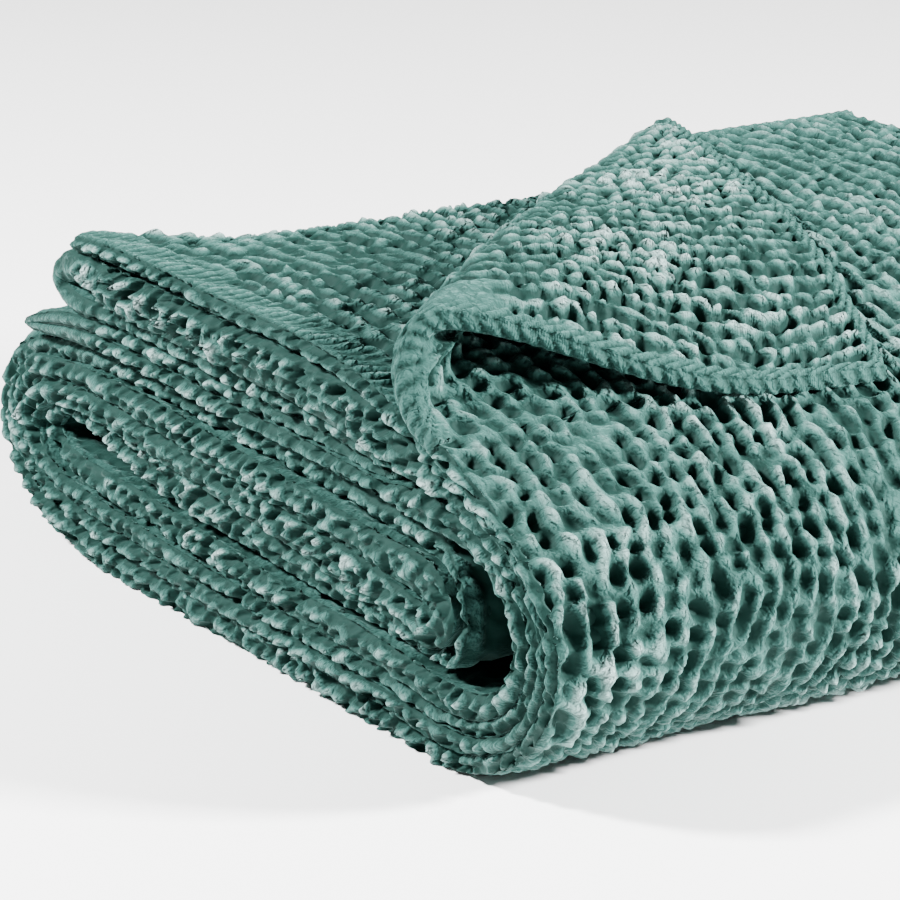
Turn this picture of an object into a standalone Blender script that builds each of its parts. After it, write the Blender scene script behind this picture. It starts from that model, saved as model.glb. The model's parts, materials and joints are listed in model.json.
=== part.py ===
"""A folded throw blanket: one puffy waffle-weave sheet, folded back and forth, with one corner turned over."""

import math

import bmesh
import bpy
import numpy as np

MM = 0.001

# The folded bundle, in millimetres: +X to the fold side, -Y to the side where the layers' edges show.
HALF_DEPTH = 229.0

# Where the rows of the sheet's grid lie across the bundle: closer where the turned corner comes to its peak.
ROW_PLACES = [-229, -200, -167, -133, -99, -65, -32, 0, 30, 56, 78, 97, 117, 148, 187, 229]

# A rung crosses the stack of layers from its outer face to its inner face. The widths of the layers
# along the rung, from the outside in, are shares of its length: four layers run through all rungs,
# and the pleat adds two more at the top.
RUNG_COLUMNS = "outer_x outer_z inner_x inner_z first second third pleat_a pleat_b last".split()
RUNGS = {
    "top_end": (-185, 184, -185, 116, 9, 8.5, 23.5, 10.5, 8.5, 8),
    "top_left": (-100, 186, -100, 116, 9, 8.5, 24.5, 11, 9, 8),
    "top_mid": (0, 184.5, 0, 116, 9, 8.5, 25, 10, 8, 8),
    "top_right": (55, 175.5, 52, 114.5, 9, 8, 23, 7, 6, 8),
    "crest": (100, 159, 94, 113, 9, 7.5, 13, 0, 0, 15),
    "shoulder": (140, 142, 131, 111, 8, 6.5, 7.5, 0, 0, 9),
    "wrap_top": (172, 122, 152, 101, 7, 6, 7, 0, 0, 10),
    "wrap_side": (195, 88, 165, 78, 7, 6, 7, 0, 0, 10),
    "wrap_low": (187, 50, 157, 58, 7, 6, 7, 0, 0, 10),
    "wrap_foot": (160, 20, 142, 49, 8, 7, 8, 0, 0, 11),
    "base_right": (118, 2, 118, 46, 13, 9, 9, 0, 0, 14),
    "base_near": (60, 0, 60, 48.5, 17, 9.5, 9.5, 0, 0, 14),
    "base_mid": (-50, 0, -50, 50, 18, 9.5, 9.5, 0, 0, 15),
    "base_left": (-160, 0, -160, 52.5, 17, 10, 10, 0, 0, 16),
    "heel": (-240, 5, -235, 54, 14, 10, 11, 0, 0, 14),
    "nose_low": (-291, 23, -258, 54, 11, 11, 12, 0, 0, 10),
    "nose_tip": (-322, 61, -265, 61, 12, 15, 16, 0, 0, 11),
    "nose_high": (-302, 97, -257, 69, 12, 14, 14, 0, 0, 10),
    "neck": (-246, 111, -236, 69, 11, 12, 13, 0, 0, 9),
    "in_left": (-160, 114, -160, 57, 10, 14, 14, 0, 0, 17),
    "in_mid": (-50, 114, -50, 54, 10, 15.5, 16, 0, 0, 16),
    "in_right": (50, 112, 50, 52, 12, 17, 18.5, 0, 0, 12),
    "in_end": (100, 108, 104, 49.5, 11, 19, 19, 0, 0, 9),
}
TOP_RUNGS = ["top_end", "top_left", "top_mid", "top_right"]
LAYERS = ["first", "second", "third", "pleat_a", "pleat_b", "last"]

# The share of its width that each layer fills, so that the layers stay a little apart.
FILL = {"first": 0.86, "second": 0.84, "third": 0.87, "pleat_a": 0.86, "pleat_b": 0.84, "last": 0.86}

# Turns that join one layer to the next, each as rows of x, z and thickness along the middle of the sheet.
INNER_WRAP = [(116, 98.5, 5), (124, 88, 3.5), (125, 70, 3.5), (118, 57, 4.5)]
LOWER_TONGUE = [(-235, 118.8, 6), (-262, 115.5, 4.5), (-281, 114.5, 4), (-262, 120.8, 4.5), (-235, 126.4, 6)]
PLEAT_TURN = [(63, 127.6, 5.5)]
UPPER_NOSE = [(-220, 136.5, 9), (-236, 140.5, 10), (-240, 148.5, 11), (-228, 156, 13), (-208, 157, 17)]
INNER_TURN = [(113, 78, 12)]
UPPER_TONGUE = [(-221, 168, 7)]

# How far each kind of stretch stands out at the side where the edges show, past the bundle's own side.
SIDE_REACH = {"first": 1.5, "second": 0.0, "third": 3.0, "pleat_a": 1.0, "pleat_b": -2.0, "last": 2.0}
INNER_REACH = {"first": -4.0, "second": 1.5, "third": 2.5, "last": -3.0}

# The inner panel lies within this place in x and between these heights.
INNER_TO_X = 112.0
INNER_FROM_Z, INNER_TO_Z = 50.0, 112.0

# The turned corner: its crease line, the radius of the roll at both ends of it, and where its tip lands.
CREASE_NEAR = np.array([60.0, -229.0])
CREASE_FAR = np.array([-183.0, 98.0])
ROLL_NEAR = 16.0
ROLL_FAR = 8.0
TIP = np.array([124.0, 1.0])
FLAP_GAP = 2.0
FLAP_FALL = 145.0
HEM_SAG = 18.0
HEM_SAG_WIDTH = 90.0
HEM_SAG_WAY = np.array([0.92, -0.39])

# Columns of the flap's grid run along its crease: distances from the roll, shares of the roll, and the
# least distance between two columns where they crowd at the flap's ends.
FLAP_LEFT = [260, 210, 165, 125, 90, 58, 28]
ROLL_SHARES = [-1, -0.66, -0.33, 0, 0.33, 0.66, 1]
FLAP_RIGHT = [25, 58, 95, 140, 190]
FLAP_LIMIT = 106.0
CROWDED = 2.2

# The upper ends stick out at the open side's corner, and lie further in along the rest of the bundle.
EAR_DEPTH = 48.0
EAR_WIDTH = 70.0
EAR_FROM = -145.0
EAR_RUN = 75.0
EAR_FLOOR = 130.0
EAR_RISE = 6.0

# Unevenness: the height of the swells on the top, and the wander of the sides along the bundle.
TOP_SWELL = 2.5
SIDE_WANDER = 4.0
EDGE_WANDER = 2.5

# The height that counts as the top for the swells, and the power that keeps side effects near the sides.
FULL_LIFT = 185.0
NEAR_SIDE = 6

# The smooth section line has this many points between two of its knots, and the sheet's grid takes one
# of them after each longest step or widest turn, but none after less than the shortest step.
POINTS_PER_SPAN = 24
LONGEST_STEP = 44.0
SHORTEST_STEP = 2.0
WIDEST_TURN = math.radians(33)

# The foot that is pressed flat: how far its points may lie over the lowest one, and its ends in x.
TOUCH = 2.2
FLAT_FROM, FLAT_TO = -190.0, 100.0


def layer_at(rung, layer):
    """The middle and the thickness of a layer where it crosses a rung: x, z, thickness."""
    row = dict(zip(RUNG_COLUMNS, RUNGS[rung]))
    outer = np.array([row["outer_x"], row["outer_z"]], float)
    inner = np.array([row["inner_x"], row["inner_z"]], float)
    widths = [row[name] for name in LAYERS]
    scale = np.linalg.norm(inner - outer) / sum(widths)
    place = LAYERS.index(layer)
    depth = (sum(widths[:place]) + widths[place] / 2) * scale
    middle = outer + (inner - outer) * depth / np.linalg.norm(inner - outer)
    return (*middle, widths[place] * scale * FILL[layer])


def layer_rows(layer, rungs):
    return [layer_at(rung, layer) for rung in rungs]


def tagged(rows, tag):
    return [(*row, tag) for row in rows]


def strip_rows():
    """The whole sheet from end to end, as rows of x, z, thickness and the layer's name."""
    through = list(RUNGS)
    back = through[::-1]
    rows = tagged(layer_rows("first", through), "first")
    rows += tagged(INNER_WRAP, "first")
    rows += tagged(layer_rows("last", back), "last")
    rows += tagged(LOWER_TONGUE, "last")
    rows += tagged(layer_rows("pleat_b", TOP_RUNGS), "pleat_b")
    rows += tagged(PLEAT_TURN, "pleat_b")
    rows += tagged(layer_rows("pleat_a", TOP_RUNGS[::-1]), "pleat_a")
    rows += tagged(UPPER_NOSE, "third")
    rows += tagged(layer_rows("third", through), "third")
    rows += tagged(INNER_TURN, "third")
    rows += tagged(layer_rows("second", back), "second")
    rows += tagged(UPPER_TONGUE, "second")
    return rows


def curve_through(knots, per_span):
    """A smooth curve through rows of numbers, with its speed set by the distance in x and z between them."""
    knots = np.asarray(knots, float)
    knots = np.vstack([2 * knots[0] - knots[1], knots, 2 * knots[-1] - knots[-2]])
    gaps = np.linalg.norm(np.diff(knots[:, :2], axis=0), axis=1) ** 0.5
    times = np.concatenate([[0], np.cumsum(gaps)])
    out = []
    for i in range(1, len(knots) - 2):
        t0, t1, t2, t3 = times[i - 1 : i + 3]
        for t in t1 + (t2 - t1) * np.arange(per_span) / per_span:
            a1 = knots[i - 1] + (knots[i] - knots[i - 1]) * (t - t0) / (t1 - t0)
            a2 = knots[i] + (knots[i + 1] - knots[i]) * (t - t1) / (t2 - t1)
            a3 = knots[i + 1] + (knots[i + 2] - knots[i + 1]) * (t - t2) / (t3 - t2)
            b1 = a1 + (a2 - a1) * (t - t0) / (t2 - t0)
            b2 = a2 + (a3 - a2) * (t - t1) / (t3 - t1)
            out.append(b1 + (b2 - b1) * (t - t1) / (t2 - t1))
    out.append(knots[-2])
    return np.array(out)


def reach_of(row):
    """How far this stretch stands out at the open side."""
    x, z, _, layer = row
    inside = x < INNER_TO_X and INNER_FROM_Z < z < INNER_TO_Z
    table = INNER_REACH if inside and layer in INNER_REACH else SIDE_REACH
    return table[layer]


def sheet_line():
    """The sheet's section: its first stretch in fine steps, and the rest in few, fine where it bends.

    Both hold x, z, thickness and reach in each row.
    """
    rows = strip_rows()
    knots = [(x, z, thick, reach_of((x, z, thick, tag))) for x, z, thick, tag in rows]
    fine = curve_through(knots, POINTS_PER_SPAN)
    flap_end = int(np.argmax(fine[:, 0] > FLAP_LIMIT))
    first, fine = fine[: flap_end + 1], fine[flap_end:]
    picked = [0]
    length = turned = 0.0
    for i in range(1, len(fine) - 1):
        before = fine[i, :2] - fine[i - 1, :2]
        after = fine[i + 1, :2] - fine[i, :2]
        length += np.linalg.norm(before)
        turned += abs(math.atan2(before[0] * after[1] - before[1] * after[0], before @ after))
        if length >= LONGEST_STEP or (turned >= WIDEST_TURN and length > SHORTEST_STEP):
            picked.append(i)
            length = turned = 0.0
    picked.append(len(fine) - 1)
    return first, fine[picked]


def smoothstep(value):
    value = np.clip(value, 0, 1)
    return value * value * (3 - 2 * value)


def swell(x, y):
    """Slow swells over the top, between -1 and 1."""
    return (
        0.5 * np.sin(x / 71 + 1.3) * np.cos(y / 83 + 0.4)
        + 0.3 * np.sin(x / 37 - y / 49 + 2.1)
        + 0.2 * np.sin(y / 29 + x / 53 + 0.7)
    )


def uneven(x, y, z):
    """Moves points of the regular bundle as the soft cloth does, and leaves its flat foot where it is."""
    lift = np.clip(z / FULL_LIFT, 0, 1.2)
    across = np.sin(y / 96 + 0.8) * 0.6 + np.sin(y / 41 + z / 60) * 0.4
    x = x + SIDE_WANDER * across * np.sqrt(lift)
    return x, y, z + TOP_SWELL * swell(x, y) * lift


def drawn_in(x, y, z):
    """How far the ends of the upper layers lie further in than at the open side's corner."""
    end = smoothstep((EAR_FROM - x) / EAR_RUN) * smoothstep((z - EAR_FLOOR) / EAR_RISE)
    return EAR_DEPTH * end * smoothstep((y + HALF_DEPTH) / EAR_WIDTH)


def turned_corner(x, y, thick):
    """Rolls the part of the first layer that lies past the crease over onto the rest of it.

    Gives the points' new places, their height over what lies there, and how far round the roll they are.
    """
    along = (CREASE_FAR - CREASE_NEAR) / np.linalg.norm(CREASE_FAR - CREASE_NEAR)
    past = np.array([-along[1], along[0]])
    place = np.stack([x, y], -1) - CREASE_NEAR
    share = np.clip(place @ along / np.linalg.norm(CREASE_FAR - CREASE_NEAR), 0, 1)
    roll = ROLL_NEAR + (ROLL_FAR - ROLL_NEAR) * share
    distance = place @ past + roll * math.pi / 2
    angle = np.clip(distance / roll, 0, math.pi)
    beyond = np.clip(distance - math.pi * roll, 0, None)
    shift = roll * np.sin(angle) - beyond - np.clip(distance, 0, None)
    corner = np.array([RUNGS["top_end"][0], -HALF_DEPTH]) - CREASE_NEAR
    landing = CREASE_NEAR + corner - 2 * (corner @ past) * past
    pull = (TIP - landing) * (beyond / (corner @ past))[..., None]
    hem = smoothstep(1 - (y + HALF_DEPTH) / HEM_SAG_WIDTH)
    sag = HEM_SAG * hem * np.sin(math.pi * np.clip(beyond / (corner @ past), 0, 1)) ** 1.5
    pull = pull + sag[..., None] * HEM_SAG_WAY
    moved = np.stack([x, y], -1) + shift[..., None] * past + pull
    resting = thick + FLAP_GAP
    settle = smoothstep(beyond / FLAP_FALL)
    height = roll * (1 - np.cos(angle))
    height = np.where(beyond > 0, 2 * roll + (resting - 2 * roll) * settle, height)
    return moved[..., 0], moved[..., 1], height, smoothstep(distance / (math.pi * roll))


def top_height(x):
    """The middle height of the first layer over the place x, before the swells."""
    knots = np.array([layer_at(rung, "first")[:2] for rung in list(RUNGS)[:8]])
    return np.interp(x, knots[:, 0], knots[:, 1])


def flap_columns(rows):
    """The places in x of the flap's columns, one list for each row across the bundle."""
    along = (CREASE_FAR - CREASE_NEAR) / np.linalg.norm(CREASE_FAR - CREASE_NEAR)
    y = rows * HALF_DEPTH
    share = (y - CREASE_NEAR[1]) / (CREASE_FAR[1] - CREASE_NEAR[1])
    crease = CREASE_NEAR[0] + share * (CREASE_FAR[0] - CREASE_NEAR[0])
    roll = ROLL_NEAR + (ROLL_FAR - ROLL_NEAR) * np.clip(share, 0, 1)
    half = roll * math.pi / 2 / along[1]
    columns = [crease - half - gap for gap in FLAP_LEFT]
    columns += [crease + half * part for part in ROLL_SHARES]
    columns += [crease + half + gap for gap in FLAP_RIGHT]
    columns = np.stack([np.full(len(rows), -1e3), *columns, np.full(len(rows), 1e3)])
    place = np.arange(len(columns))[:, None]
    lowest = RUNGS["top_end"][0] + CROWDED * place
    highest = FLAP_LIMIT - CROWDED * (len(columns) - 1 - place)
    return np.clip(columns, lowest, highest)


def sheet_points(first, rest):
    """The middle of the sheet as a grid of points, one row of the grid for each step of the section."""
    rows = np.array(ROW_PLACES) / HALF_DEPTH
    flap_x = flap_columns(rows)
    flap = slice(0, len(flap_x))
    steps = len(flap_x) + len(rest) - 1
    x, z, thick, reach = (
        np.vstack([np.interp(flap_x, first[:, 0], first[:, k]), np.repeat(rest[1:, k : k + 1], len(rows), 1)])
        for k in range(4)
    )
    side = np.repeat(rows[None], steps, axis=0)
    wander = EDGE_WANDER * np.sin(np.arange(steps)[:, None] / 3.1 + 4 * side) * np.abs(side) ** NEAR_SIDE
    y = side * HALF_DEPTH - np.clip(-side, 0, 1) ** NEAR_SIDE * reach + wander
    x[len(flap_x) :] += drawn_in(x, y, z)[len(flap_x) :]
    x, y, z = uneven(x, y, z)
    fx, fy, height, share = turned_corner(x[flap], y[flap], thick[flap])
    landed = top_height(fx) + TOP_SWELL * swell(fx, fy)
    x[flap], y[flap] = fx, fy
    z[flap] = z[flap] * (1 - share) + landed * share + height
    return np.stack([x, y, z], -1), thick


def make_sheet():
    """The blanket as an open surface, given its thickness by a Solidify modifier."""
    points, thick = sheet_points(*sheet_line())
    count, across = points.shape[:2]
    form = bmesh.new()
    verts = [form.verts.new(point * MM) for point in points.reshape(-1, 3)]
    for i in range(count - 1):
        for j in range(across - 1):
            corner = i * across + j
            quad = (corner, corner + across, corner + across + 1, corner + 1)
            form.faces.new([verts[k] for k in quad])
    mesh = bpy.data.meshes.new("blanket")
    form.to_mesh(mesh)
    form.free()
    blanket = bpy.data.objects.new("blanket", mesh)
    group = blanket.vertex_groups.new(name="thickness")
    thickest = float(thick.max())
    for k, value in enumerate(thick.reshape(-1)):
        group.add([k], float(value) / thickest, "REPLACE")
    solidify = blanket.modifiers.new("thickness", "SOLIDIFY")
    solidify.thickness = thickest * MM
    solidify.offset = 0
    solidify.vertex_group = group.name
    return blanket


def settled(blanket, collection):
    """The solid sheet as one mesh, pressed flat where it rests and centred over the origin."""
    collection.objects.link(blanket)
    graph = bpy.context.evaluated_depsgraph_get()
    mesh = bpy.data.meshes.new_from_object(blanket.evaluated_get(graph))
    bpy.data.objects.remove(blanket)
    places = np.empty(len(mesh.vertices) * 3)
    mesh.vertices.foreach_get("co", places)
    places = places.reshape(-1, 3) / MM
    low = places[:, 2].min()
    foot = (places[:, 2] < low + TOUCH) & (places[:, 0] > FLAT_FROM) & (places[:, 0] < FLAT_TO)
    floor = places[foot, 2].max()
    places[:, 2] = np.where(foot, floor, np.maximum(places[:, 2], floor)) - floor
    lowest, highest = places.min(axis=0), places.max(axis=0)
    places[:, :2] -= (lowest[:2] + highest[:2]) / 2
    mesh.vertices.foreach_set("co", (places * MM).reshape(-1))
    result = bpy.data.objects.new("blanket", mesh)
    collection.objects.link(result)
    return result


def cloth_material():
    material = bpy.data.materials.new("sage_green_cotton")
    material.use_nodes = True
    shader = material.node_tree.nodes["Principled BSDF"]
    shader.inputs["Base Color"].default_value = (0.09, 0.26, 0.22, 1)
    shader.inputs["Roughness"].default_value = 0.9
    shader.inputs["Metallic"].default_value = 0.0
    return material


def clear_scene():
    for thing in list(bpy.data.objects):
        bpy.data.objects.remove(thing)


def main():
    clear_scene()
    collection = bpy.data.collections.new("throw_blanket")
    bpy.context.scene.collection.children.link(collection)
    blanket = settled(make_sheet(), collection)
    blanket.data.shade_smooth()
    blanket.data.materials.append(cloth_material())


main()
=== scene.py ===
"""The looks of the folded throw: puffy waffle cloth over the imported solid's folds, in mesh and material."""

import json
import math

import bpy
import numpy as np
from mathutils import Matrix, Vector

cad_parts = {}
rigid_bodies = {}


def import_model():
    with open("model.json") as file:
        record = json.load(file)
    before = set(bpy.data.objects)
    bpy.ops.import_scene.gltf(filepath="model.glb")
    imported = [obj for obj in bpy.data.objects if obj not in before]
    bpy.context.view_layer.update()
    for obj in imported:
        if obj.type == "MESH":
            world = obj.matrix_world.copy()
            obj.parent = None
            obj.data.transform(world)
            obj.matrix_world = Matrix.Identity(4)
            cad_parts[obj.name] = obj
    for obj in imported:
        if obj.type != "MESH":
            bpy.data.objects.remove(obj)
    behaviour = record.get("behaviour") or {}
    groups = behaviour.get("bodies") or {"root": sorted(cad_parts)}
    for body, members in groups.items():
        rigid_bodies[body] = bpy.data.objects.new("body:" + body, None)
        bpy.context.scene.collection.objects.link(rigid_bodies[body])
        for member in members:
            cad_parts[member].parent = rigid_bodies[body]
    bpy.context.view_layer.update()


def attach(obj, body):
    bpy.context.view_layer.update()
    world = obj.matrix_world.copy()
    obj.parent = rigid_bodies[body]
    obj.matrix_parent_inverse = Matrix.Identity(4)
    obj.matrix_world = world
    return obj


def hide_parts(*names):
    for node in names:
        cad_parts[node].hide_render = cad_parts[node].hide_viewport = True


for thing in list(bpy.data.objects):
    bpy.data.objects.remove(thing)

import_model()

MM = 0.001

# The folded bundle in the fold's own millimetres, and where the middle of its foot lies in them.
HALF_DEPTH = 229.0
MIDDLE = np.array([-62.36, -2.59, 1.61])

# A rung crosses the stack of layers from its outer face to its inner face. The widths of the layers
# along the rung, from the outside in, are shares of its length. Between rungs the curve takes equal
# numbers of steps, and the turned corner lies over the first eight rungs.
RUNG_COLUMNS = "outer_x outer_z inner_x inner_z first second third pleat_a pleat_b last".split()
RUNGS = {
    "top_end": (-185, 184, -185, 116, 9, 8.5, 23.5, 10.5, 8.5, 8),
    "top_left": (-100, 186, -100, 116, 9, 8.5, 24.5, 11, 9, 8),
    "top_mid": (0, 184.5, 0, 116, 9, 8.5, 25, 10, 8, 8),
    "top_right": (55, 175.5, 52, 114.5, 9, 8, 23, 7, 6, 8),
    "crest": (100, 159, 94, 113, 9, 7.5, 13, 0, 0, 15),
    "shoulder": (140, 142, 131, 111, 8, 6.5, 7.5, 0, 0, 9),
    "wrap_top": (172, 122, 152, 101, 7, 6, 7, 0, 0, 10),
    "wrap_side": (195, 88, 165, 78, 7, 6, 7, 0, 0, 10),
    "wrap_low": (187, 50, 157, 58, 7, 6, 7, 0, 0, 10),
    "wrap_foot": (160, 20, 142, 49, 8, 7, 8, 0, 0, 11),
    "base_right": (118, 2, 118, 46, 13, 9, 9, 0, 0, 14),
    "base_near": (60, 0, 60, 48.5, 17, 9.5, 9.5, 0, 0, 14),
    "base_mid": (-50, 0, -50, 50, 18, 9.5, 9.5, 0, 0, 15),
    "base_left": (-160, 0, -160, 52.5, 17, 10, 10, 0, 0, 16),
    "heel": (-240, 5, -235, 54, 14, 10, 11, 0, 0, 14),
    "nose_low": (-291, 23, -258, 54, 11, 11, 12, 0, 0, 10),
    "nose_tip": (-322, 61, -265, 61, 12, 15, 16, 0, 0, 11),
    "nose_high": (-302, 97, -257, 69, 12, 14, 14, 0, 0, 10),
    "neck": (-246, 111, -236, 69, 11, 12, 13, 0, 0, 9),
    "in_left": (-160, 114, -160, 57, 10, 14, 14, 0, 0, 17),
    "in_mid": (-50, 114, -50, 54, 10, 15.5, 16, 0, 0, 16),
    "in_right": (50, 112, 50, 52, 12, 17, 18.5, 0, 0, 12),
    "in_end": (100, 108, 104, 49.5, 11, 19, 19, 0, 0, 9),
}
TOP_RUNGS = ["top_end", "top_left", "top_mid", "top_right"]
RUNGS_UNDER_CORNER = list(RUNGS)[:8]
SPAN_STEPS = 24
LAYERS = ["first", "second", "third", "pleat_a", "pleat_b", "last"]

# The share of its width that each layer fills, so that the layers stay a little apart.
FILL = {"first": 0.86, "second": 0.84, "third": 0.87, "pleat_a": 0.86, "pleat_b": 0.84, "last": 0.86}

# Turns that join one layer to the next, each as rows of x, z and thickness along the middle of the sheet.
INNER_WRAP = [(116, 98.5, 5), (124, 88, 3.5), (125, 70, 3.5), (118, 57, 4.5)]
LOWER_TONGUE = [(-235, 118.8, 6), (-262, 115.5, 4.5), (-281, 114.5, 4), (-262, 120.8, 4.5), (-235, 126.4, 6)]
PLEAT_TURN = [(63, 127.6, 5.5)]
UPPER_NOSE = [(-220, 136.5, 9), (-236, 140.5, 10), (-240, 148.5, 11), (-228, 156, 13), (-208, 157, 17)]
INNER_TURN = [(113, 78, 12)]
UPPER_TONGUE = [(-221, 168, 7)]

# How far each kind of stretch stands out at the side where the edges show, past the bundle's own side.
SIDE_REACH = {"first": 1.5, "second": 4.0, "third": 3.0, "pleat_a": 1.0, "pleat_b": -2.0, "last": 2.0}
INNER_REACH = {"first": -4.0, "second": 1.5, "third": 2.5, "last": -3.0}
INNER_TO_X = 112.0
INNER_FROM_Z, INNER_TO_Z = 50.0, 112.0

# The turned corner: its crease line, the radius of the roll at both ends of it, and where its tip lands.
CREASE_NEAR = np.array([60.0, -229.0])
CREASE_FAR = np.array([-183.0, 98.0])
ROLL_NEAR = 16.0
ROLL_FAR = 8.0
TIP = np.array([124.0, 1.0])
FLAP_GAP = 2.0
FLAP_FALL = 145.0
FLAP_LIMIT = 106.0
HEM_SAG = 18.0
HEM_SAG_WIDTH = 90.0
HEM_SAG_WAY = np.array([0.92, -0.39])
HEM_SAG_POWER = 1.5

# The upper ends stick out at the open side's corner, and lie further in along the rest of the bundle.
EAR_DEPTH = 48.0
EAR_WIDTH = 70.0
EAR_FROM = -145.0
EAR_RUN = 75.0
EAR_FLOOR = 130.0
EAR_RISE = 6.0

# The smooth ends there: the share of the relief that they lose, and where the smoothing sets in. Each
# pair is the place where it starts and the run over which it grows, with a minus towards lower values.
CALM_SHARE = 0.75
CALM_X = (-206, -18)
CALM_Y = (-150, -40)
CALM_Z = (104, 8)

# The smooth hem band that shows on the turned corner's roll: its width, where it begins on the sheet, how
# softly both set in, and how much of the weave is left there.
CURL_BAND = 24.0
CURL_BAND_FADE = 8.0
CURL_FROM = 170.0
CURL_RUN = 30.0
CURL_WEAVE = 0.1

# Unevenness: the height of the swells on the top, the wander of the sides along the bundle, and that of
# the sheet's edges along the sheet. The power keeps what moves an edge close to that edge.
TOP_SWELL = 2.5
SIDE_WANDER = 4.0
EDGE_WANDER = 2.5
EDGE_WANDER_LENGTH = 105.0
EDGE_WANDER_SHIFT = 4.0
FULL_LIFT = 185.0
MOST_LIFT = 1.2
EDGE_POWER = 6

# Waves, each as its height, the millimetres for a radian along and across, its start, and how many
# times the seed is added to it. An even one doesn't change in that direction.
EVEN = math.inf
TOP_SWELLS = [(0.25, 71, 83, 1.7, 0), (0.25, 71, -83, 0.9, 0), (0.3, 37, -49, 2.1, 0), (0.2, 53, 29, 0.7, 0)]
SIDE_WANDERS = [(0.6, EVEN, 96, 0.8, 0), (0.4, 60, 41, 0, 0)]
WARP_ALONG = [
    (6.0, 58, EVEN, 0, 1),
    (5.0, EVEN, 44, 0, 2),
    (2.2, 40, 24, 0, 1),
    (1.6, 19, 11, 0, 1),
    (1.4, 9, -6.5, 0, 0),
]
WARP_ACROSS = [
    (4.5, EVEN, 51, 0, 1.7),
    (4.0, 39, EVEN, 0, 3),
    (2.0, -26, 37, 1, 0),
    (1.4, 12, 17, 0, 1),
    (0.9, 5.5, 14, 0, 0),
]
WEAVE_STRENGTH = [(0.2, 31, 47, 0, 1), (0.16, -57, 21, 0, 0)]

# The weave: the pitch of its puffs along and across the sheet, and the heights of its parts in millimetres.
PITCH_ALONG = 11.4
PITCH_ACROSS = 11.8
PUFF_HEIGHT = 3.3
ROPE_HEIGHT = 0.5
PIT_DEPTH = 5.0
CRUMPLE_HEIGHT = 1.1
WEAVE_SUNK = 0.3
WEAVE_LEVEL = 1.5
FLAP_FINER = 1.15

# How crooked the weave's lattice is: the shift of one row of cells against the next, as a share of a
# cell, how the shift turns from row to row, and the cells along a row over which it drifts.
STAGGER = 0.3
ROW_TURN = 2.4
ROW_DRIFT = 6

# The random numbers that each cell draws, in this order from the seed up, and the factors that make them.
DRAWS = "puff_along puff_across size lean width height pit_along pit_across depth big pit_size".split()
HASH_ALONG = 127.1
HASH_ACROSS = 311.7
HASH_SEED = 74.7
HASH_SCALE = 43758.5453

# A cell's puff: how far it strays and reaches along and across, in cells, how its slopes differ, and its
# size, width and height, each as the least and what a random number between 0 and 1 adds.
PUFF_STRAY = (0.56, 0.42)
PUFF_REACH = (0.56, 0.53)
PUFF_SKEW = (0.35, -0.3)
PUFF_SKEW_OVER = (3, 2.5)
PUFF_LEAN = 1.5
PUFF_SIZE = (0.7, 0.6)
PUFF_SIZE_POWER = 1.5
PUFF_WIDTH = (0.78, 0.45)
PUFF_RISE = (0.6, 0.55)
BIG_PUFF = 0.3
BIG_PUFF_SHARE = 0.12
ROUND_POWER = 0.45
ROUND_SHARE = 0.76

# A cell's pit, in the same way: how far it strays, how narrow it is, its size and its depth.
PIT_STRAY = (0.4, 0.3)
PIT_NARROW = (2.7, 3.3)
PIT_POWER = 1.6
PIT_SIZE = (0.75, 0.5)
PIT_RISE = (0.35, 1.0)

# The sharp creases along and across the weave, and the patches where each kind shows.
CREASE_ALONG = 3.1
CREASE_ACROSS = 2.9
CREASE_ACROSS_SLANT = 7
CREASE_ACROSS_SHARE = 0.7
BENDS_ALONG = [(1.6, EVEN, 4.7, 0, 1), (1.2, EVEN, 11, 0, 0)]
BENDS_ACROSS = [(1.5, 4.1, EVEN, 0, 2)]
PATCHES_ALONG = [(0.5, 13, 8.5, 0, 1)]
PATCHES_ACROSS = [(0.5, 9, -11, 0, 0)]

# The weave on the sheet's rims, where the cells are gathered into leaning lumps.
RIM_PITCH_ALONG = 10.5
RIM_PITCH_ACROSS = 8.5
RIM_PUFF = 5.6
RIM_PIT = 6.0
RIM_CRUMPLE = 1.2
RIM_SUNK = 1.2
RIM_SPREAD = 0.62
RIM_SLANT = 0.55
RIM_STAGGER = 0.35
RIM_BENDS = [(3.5, 37, EVEN, 0, 1), (1.6, 9.5, EVEN, 0, 0)]
RIM_ROWS = [(0.25, 61, EVEN, 0, 0)]
RIM_BY_THICKNESS = (0.5, 0.04)
RIM_STRENGTH = [(0.25, 47, EVEN, 0, 1)]

# The rims' form: how far they start inside the edge, how far they bulge by the sheet's thickness, and how
# their relief fades towards the faces.
RIM_INSET = 2.0
RIM_BULGE = 0.22
RIM_FADE = 0.6
RIM_FADE_POWER = 3

# The turned corner's rolled hem, a rope with slanting grooves.
HEM_WIDTH = 9.0
HEM_HEIGHT = 0.8
HEM_GROOVE = 2.4
HEM_SUNK = 0.4
HEM_PITCH = 8.5
HEM_SLANT = 0.9
HEM_BENDS = [(1.2, 9, EVEN, 0, 0)]
HEM_SHARP = 0.6
HEM_FROM = 0.8
HEM_FADE = 3.0

# The share of its relief that the turned corner keeps on the side that doesn't show, and how fast that
# changes round the roll.
FLAP_HIDDEN = 0.2
FLAP_SHOWN_BY = 3

# The lapel of the turned corner's roll: how far it fills the roll, and how deep into it.
LAPEL = 12.0
LAPEL_DEPTH = 20.0

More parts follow.
